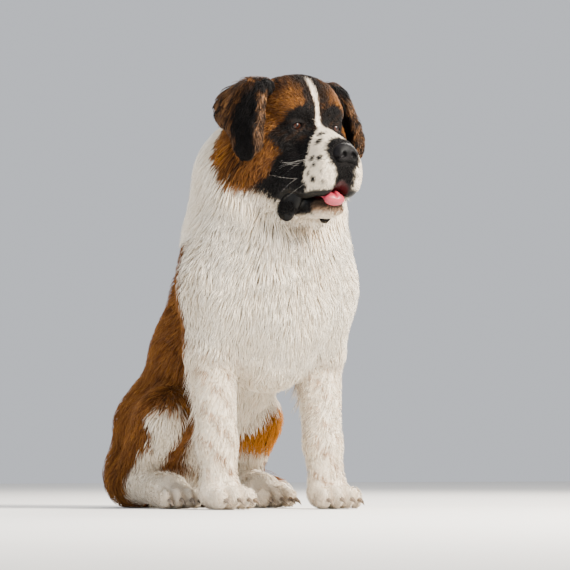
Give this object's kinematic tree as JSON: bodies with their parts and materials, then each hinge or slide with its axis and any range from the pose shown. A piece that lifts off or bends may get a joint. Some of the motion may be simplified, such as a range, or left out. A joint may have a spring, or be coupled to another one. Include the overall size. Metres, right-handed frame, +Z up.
{
  "type": "sitting dog model",
  "caption": "Life-size still model of a large, long-coated dog sitting upright, tail curled round its left side, mouth a little open.",
  "frame": {"origin": "on the floor, under the middle of the whole box", "axes": "+Z up, -Y is the way the dog faces, +X is its left side"},
  "size_m": [0.4959, 0.8363, 0.8924],
  "materials": {
    "tan_coat": "long soft fur",
    "white_coat": "long soft fur",
    "dark_coat": "short soft fur",
    "nose": "moist, finely pebbled",
    "tongue": "wet",
    "eye": "wet, clear",
    "claw": "dull horn"
  },
  "bodies": {
    "root": {"head": "dark_coat", "nose": "nose", "tongue": "tongue", "lower_jaw": "dark_coat", "eye_right": "eye", "ear_right": "dark_coat", "eye_left": "eye", "ear_left": "dark_coat", "foreleg_right": "white_coat", "forepaw_right": "white_coat", "claw_fore_right_1": "claw", "claw_fore_right_2": "claw", "claw_fore_right_3": "claw", "claw_fore_right_4": "claw", "hindleg_right": "tan_coat", "hindpaw_right": "white_coat", "claw_hind_right_1": "claw", "claw_hind_right_2": "claw", "claw_hind_right_3": "claw", "claw_hind_right_4": "claw", "foreleg_left": "white_coat", "forepaw_left": "white_coat", "claw_fore_left_1": "claw", "claw_fore_left_2": "claw", "claw_fore_left_3": "claw", "claw_fore_left_4": "claw", "hindleg_left": "tan_coat", "hindpaw_left": "white_coat", "claw_hind_left_1": "claw", "claw_hind_left_2": "claw", "claw_hind_left_3": "claw", "claw_hind_left_4": "claw", "neck": "white_coat", "torso": "tan_coat", "tail": "tan_coat"}
  },
  "joints": []
}
